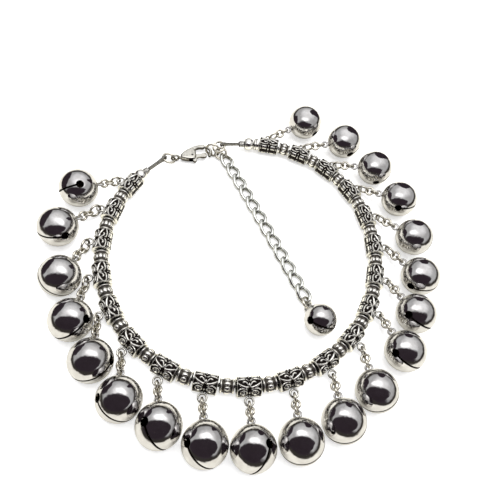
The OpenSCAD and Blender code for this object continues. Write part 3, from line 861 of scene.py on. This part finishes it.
plate = rounded_plate("clasp", body_outline, body_thick, body_round)
plate = cut_away(plate, lever_room_middle, lever_room)
arm = rounded_plate("arm", arm_outline, arm_thick, arm_round)
hook_path = [(hook_middle[0] + hook_r * math.cos(a), hook_middle[1] + hook_r * math.sin(a), 0)
             for a in np.radians(np.linspace(hook_from, hook_to, 40))]
for mesh in (plate, arm):
    paint_side_shade(mesh)
here = [(Matrix(), 1)]
upright = [(turned("X", 90), 1)]
neck_path = ((neck_from, 0, 0), (neck_to, 0, 0))
hook = wire_forms("hook", bent("hook", hook_path), hook_wire_r, here, clasp_silver, sides=20)
end_loop = wire_forms("loop", round_path(), end_loop_wire_r, upright, clasp_silver, sides=16)
neck = wire_forms("neck", bent("neck", neck_path), neck_r, here, clasp_silver, sides=16)
claw = joined("lobster_claw", [plate, arm, hook, end_loop, neck])
claw.set_sharp_from_angle(angle=math.radians(50))
claw.transform(in_metres(clasp_place))
add_piece(claw, "clasp_silver", "clasp_body")
lever = rounded_plate("sprung_lever", lever_outline, lever_thick, lever_round)
paint_side_shade(lever)
lever.transform(in_metres(clasp_place))
add_piece(lever, "clasp_silver", "clasp_lever", body="lever")
nodes["clasp_pin"].data.materials.clear()
nodes["clasp_pin"].data.materials.append(pellet_steel)

# Rings at the closure: jump rings of thicker silvered wire. One holds the clasp to the left eye,
# three join the right eye, the ring that the clasp hooks into and the chain, and one hangs the
# small bell from the chain's far end.
jump_wire_r = 0.35
for name, node, x, y, z, yaw, roll, radius in (
    ("clasp_jump_ring", "clasp_ring", -28.17, 20.25, 1.885, 128.3, 105.4, 1.75),
    ("catching_ring", "catch_ring", -16.84, 27.02, 2.34, -176, 9, 2),
    ("eye_ring", "side_ring", -15.27, 28.04, 3.2, 137, 70, 1.7),
    ("chain_end_ring", "chain_ring", -14.33, 26.99, 1.86, -178, 48, 1.6),
    ("bell_end_ring", "end_ring", 18.75, -14.15, 1.32, -66, 53, 1.55),
):
    place = whole_loop @ moved(x, y, z) @ turned("Z", yaw) @ turned("X", roll + 90)
    add_piece(wire_forms(name, cut_ring, jump_wire_r, [(place, radius)], ring_silver), "ring_silver", node)

# Extender chain: flat curb links, each an oval of silvered wire with a quarter turn in it,
# so that the chain lies flat across the middle of the anklet.
link_count = 12
link_pitch = 4.3
link_half_length = 2.68
link_half_width = 1.4
link_twist = 45
link_wire_r = 0.51
link_steps = 56
chain_start = (-12.05, 25.32, 1.27)
chain_heading, chain_bend = -50.6, -0.18
link_path = []
for step in range(link_steps):
    a = math.tau * step / link_steps
    lean = math.radians(link_twist * math.cos(a))
    side = link_half_width * math.sin(a)
    link_path.append((link_half_length * math.cos(a), side * math.cos(lean), side * math.sin(lean)))
x, y, z = chain_start
links = []
for i in range(link_count):
    links.append((whole_loop @ moved(x, y, z) @ turned("Z", chain_heading + i * chain_bend), 1))
    course = math.radians(chain_heading + (i + 0.5) * chain_bend)
    x += link_pitch * math.cos(course)
    y += link_pitch * math.sin(course)
chain_silver = metal(
    "chain_silver", bright=(0.93, 0.94, 0.89), dark=(0.08, 0.08, 0.06), gloss=0.12, dull=0.3,
    amount=0.85, grain=1400, ripple=800, dent=0.00002, height="relief")
link_bend = bent("link", link_path, closed=True)
chain = wire_forms("curb_links", link_bend, link_wire_r, links, chain_silver, sides=14)
add_piece(chain, "ring_silver", "extender_chain")

# End bell: a smaller bell, pressed and silvered like the others, that weighs the chain's end
# down. It hangs on the last jump ring.
end_bell_r = 4
end_shank_r, end_shank_wire_r, end_shank_offset = 0.95, 0.32, 1.15
end_slot_turn, end_shank_turn = 60, -64
end_bell_place = whole_loop @ moved(22.25, -19.03, end_bell_r) @ turned("Z", -50) @ turned("Y", -29.7)
small_ball = pressed_ball(end_bell_r)
small_shank = soldered_shank(end_bell_r, end_shank_r, end_shank_wire_r, end_shank_offset)
add_piece(bell("small_jingle_bell", small_ball, small_shank, end_bell_r, end_bell_place, end_slot_turn,
               end_shank_turn), "bell_silver", "end_bell")

# Studio: a white table under a soft light from overhead, in a pale room that is dark along its
# foot and behind the camera. The bells mirror the room.
table_r = 0.9
table_white = (0.9, 0.9, 0.9, 1)
# The table's colour in the metal is a painted reflection: cream under the anklet, and dark
# towards the walls. The table also glows a little, more to the camera, where it keeps the table
# evenly white, than in the metal, where the glow is painted light.
near_white = (0.84, 0.82, 0.74, 1)
far_dark = (0.1, 0.09, 0.08, 1)
glow_mirrored, glow_seen = 0.12, 0.56
floor_mesh = bpy.data.meshes.new("table")
bm = bmesh.new()
bmesh.ops.create_circle(bm, cap_ends=True, segments=96, radius=table_r)
bm.to_mesh(floor_mesh)
bm.free()
floor = in_scene("table", floor_mesh)
paper = bpy.data.materials.new("white_paper")
paper.use_nodes = True
sheet = paper.node_tree
cover = sheet.nodes["Principled BSDF"]
cover.inputs["Roughness"].default_value = 0.9
cover.inputs["Specular IOR Level"].default_value = 0
spot = add(sheet, "ShaderNodeTexCoord")
far = add(sheet, "ShaderNodeVectorMath", {0: spot.outputs["Object"]}, operation="LENGTH")
fade = add(sheet, "ShaderNodeMapRange", {
    "Value": far.outputs["Value"], "From Min": 0.08, "From Max": 0.17}, interpolation_type="SMOOTHSTEP")
mirrored = add(sheet, "ShaderNodeMix", {
    0: fade.outputs["Result"], 6: near_white, 7: far_dark}, data_type="RGBA")
seen = add(sheet, "ShaderNodeLightPath")
shown = add(sheet, "ShaderNodeMix", {
    0: seen.outputs["Is Camera Ray"], 6: mirrored.outputs[2], 7: table_white}, data_type="RGBA")
lift = add(sheet, "ShaderNodeMapRange", {
    "Value": seen.outputs["Is Camera Ray"], "To Min": glow_mirrored, "To Max": glow_seen})
sheet.links.new(shown.outputs[2], cover.inputs["Base Color"])
sheet.links.new(shown.outputs[2], cover.inputs["Emission Color"])
sheet.links.new(lift.outputs["Result"], cover.inputs["Emission Strength"])
floor_mesh.materials.append(paper)

room = bpy.data.worlds.new("room")
bpy.context.scene.world = room
room.use_nodes = True
sky = room.node_tree
direction = add(sky, "ShaderNodeTexCoord").outputs["Generated"]
parts = add(sky, "ShaderNodeSeparateXYZ", {0: direction})


def side_of_room(towards, start, full):
    """1 in that direction, falling to 0 between the two cosines."""
    facing = add(sky, "ShaderNodeVectorMath", {0: direction, 1: Vector(towards).normalized()},
                 operation="DOT_PRODUCT")
    return add(sky, "ShaderNodeMapRange", {
        "Value": facing.outputs["Value"], "From Min": start, "From Max": full},
        interpolation_type="SMOOTHSTEP").outputs["Result"]


# The walls are pale, with a bright ceiling and a dark wall behind the camera.
room_light = (0.58, 0.58, 0.59, 1)
dark_foot = (0.05, 0.045, 0.04, 1)
for towards, start, full, light in (
    ((0.05, 0.3, 0.95), 0.6, 1, (1.15, 1.15, 1.17, 1)),
    ((0, -1, 0), 0.5, 0.75, (0.045, 0.034, 0.042, 1)),
):
    level = add(sky, "ShaderNodeMix", {0: side_of_room(towards, start, full), 6: room_light, 7: light},
                data_type="RGBA")
    room_light = level.outputs[2]
horizon = add(sky, "ShaderNodeMapRange", {
    "Value": parts.outputs["Z"], "From Min": 0.1, "From Max": 0.34, "To Min": 1, "To Max": 0},
    interpolation_type="SMOOTHSTEP")
dim = add(sky, "ShaderNodeMix", {
    0: horizon.outputs["Result"], 6: room_light, 7: dark_foot}, data_type="RGBA")
sky.links.new(dim.outputs[2], sky.nodes["Background"].inputs["Color"])

# The camera looks down from the near side, rolled so that the loop leans to the right.
camera_place = Vector((1.49, -68.61, 114.8))
camera_tilt = math.radians(58.2)
camera_roll = math.radians(14.36)
forward = Vector((0, math.cos(camera_tilt), -math.sin(camera_tilt)))
level_right = Vector((1, 0, 0))
level_up = Vector((0, math.sin(camera_tilt), math.cos(camera_tilt)))
right = math.cos(camera_roll) * level_right + math.sin(camera_roll) * level_up
up = -math.sin(camera_roll) * level_right + math.cos(camera_roll) * level_up


def mirrored_sheet(name, place, half, light, fade_from):
    """Oval sheet of that light in a frame in mm. It fades from that share of its size outwards."""
    mesh = bpy.data.meshes.new(name)
    mesh.from_pydata([(x, y, 0) for x in (-1, 1) for y in (-1, 1)], [], [(0, 1, 3, 2)])
    mesh.transform(Matrix.Diagonal((half[0] * mm, half[1] * mm, 1, 1)))
    points = mesh.uv_layers.new(name="from_middle")
    for loop in mesh.loops:
        across, along = mesh.vertices[loop.vertex_index].co[:2]
        points.data[loop.index].uv = (across / (half[0] * mm), along / (half[1] * mm))
    mesh.transform(in_metres(place))
    held = in_scene(name, mesh)
    held.visible_camera = held.visible_diffuse = held.visible_shadow = False
    material = bpy.data.materials.new(name)
    material.use_nodes = True
    tree = material.node_tree
    shader = tree.nodes["Principled BSDF"]
    shader.inputs["Base Color"].default_value = (0, 0, 0, 1)
    shader.inputs["Specular IOR Level"].default_value = 0
    shader.inputs["Emission Color"].default_value = (*light, 1)
    shader.inputs["Emission Strength"].default_value = 1
    spot = add(tree, "ShaderNodeUVMap", uv_map="from_middle")
    far = add(tree, "ShaderNodeVectorMath", {0: spot.outputs["UV"]}, operation="LENGTH")
    edge = add(tree, "ShaderNodeMapRange", {
        "Value": far.outputs["Value"], "From Min": fade_from, "From Max": 1, "To Min": 1, "To Max": 0},
        interpolation_type="SMOOTHSTEP")
    tree.links.new(edge.outputs["Result"], shader.inputs["Alpha"])
    mesh.materials.append(material)


# A soft lamp hangs over the middle of the anklet. The camera and the hands that hold it darken
# the near side, and two dark walls stand at the back and the left. The metal mirrors all four,
# and nothing else sees them.
lamp_light = (2.4, 2.4, 2.45)
black = (0.038, 0.028, 0.036)
away = Vector((-0.211, 0.977, 0))
along_camera = Matrix((right, away, (0, 0, 1))).transposed().to_4x4()
for name, place, half, light, fade_from in (
    ("lamp", moved(-5, 2, 96), (80, 44), lamp_light, 0),
    ("camera_and_hands", moved(-5, -129, 70) @ along_camera, (210, 104), black, 0.86),
    ("wall_behind", moved(52, 98, 38) @ turned("X", 90), (34, 58), black, 0.85),
    ("wall_left", moved(-125, 25, 34) @ turned("Y", 90), (54, 75), black, 0.85),
):
    mirrored_sheet(name, place, half, light, fade_from)

# The panel lights the table and the film in the low places, and isn't mirrored itself.
panel_place = Vector((0.03, 0.1, 0.55))
panel = bpy.data.lights.new("panel", "AREA")
panel.size = 0.5
panel.energy = 3.2
hung_panel = in_scene("panel", panel)
hung_panel.location = panel_place
hung_panel.rotation_euler = panel_place.to_track_quat("Z", "Y").to_euler()
hung_panel.visible_glossy = False

lens = bpy.data.cameras.new("camera")
lens.lens = 36
lens.sensor_width = 36
lens.clip_start = 0.005
camera = in_scene("camera", lens)
looking = Matrix((right, up, -forward)).transposed().to_4x4()
camera.matrix_world = Matrix.Translation(camera_place * mm) @ looking
bpy.context.scene.camera = camera
bpy.context.scene.view_settings.view_transform = "Standard"
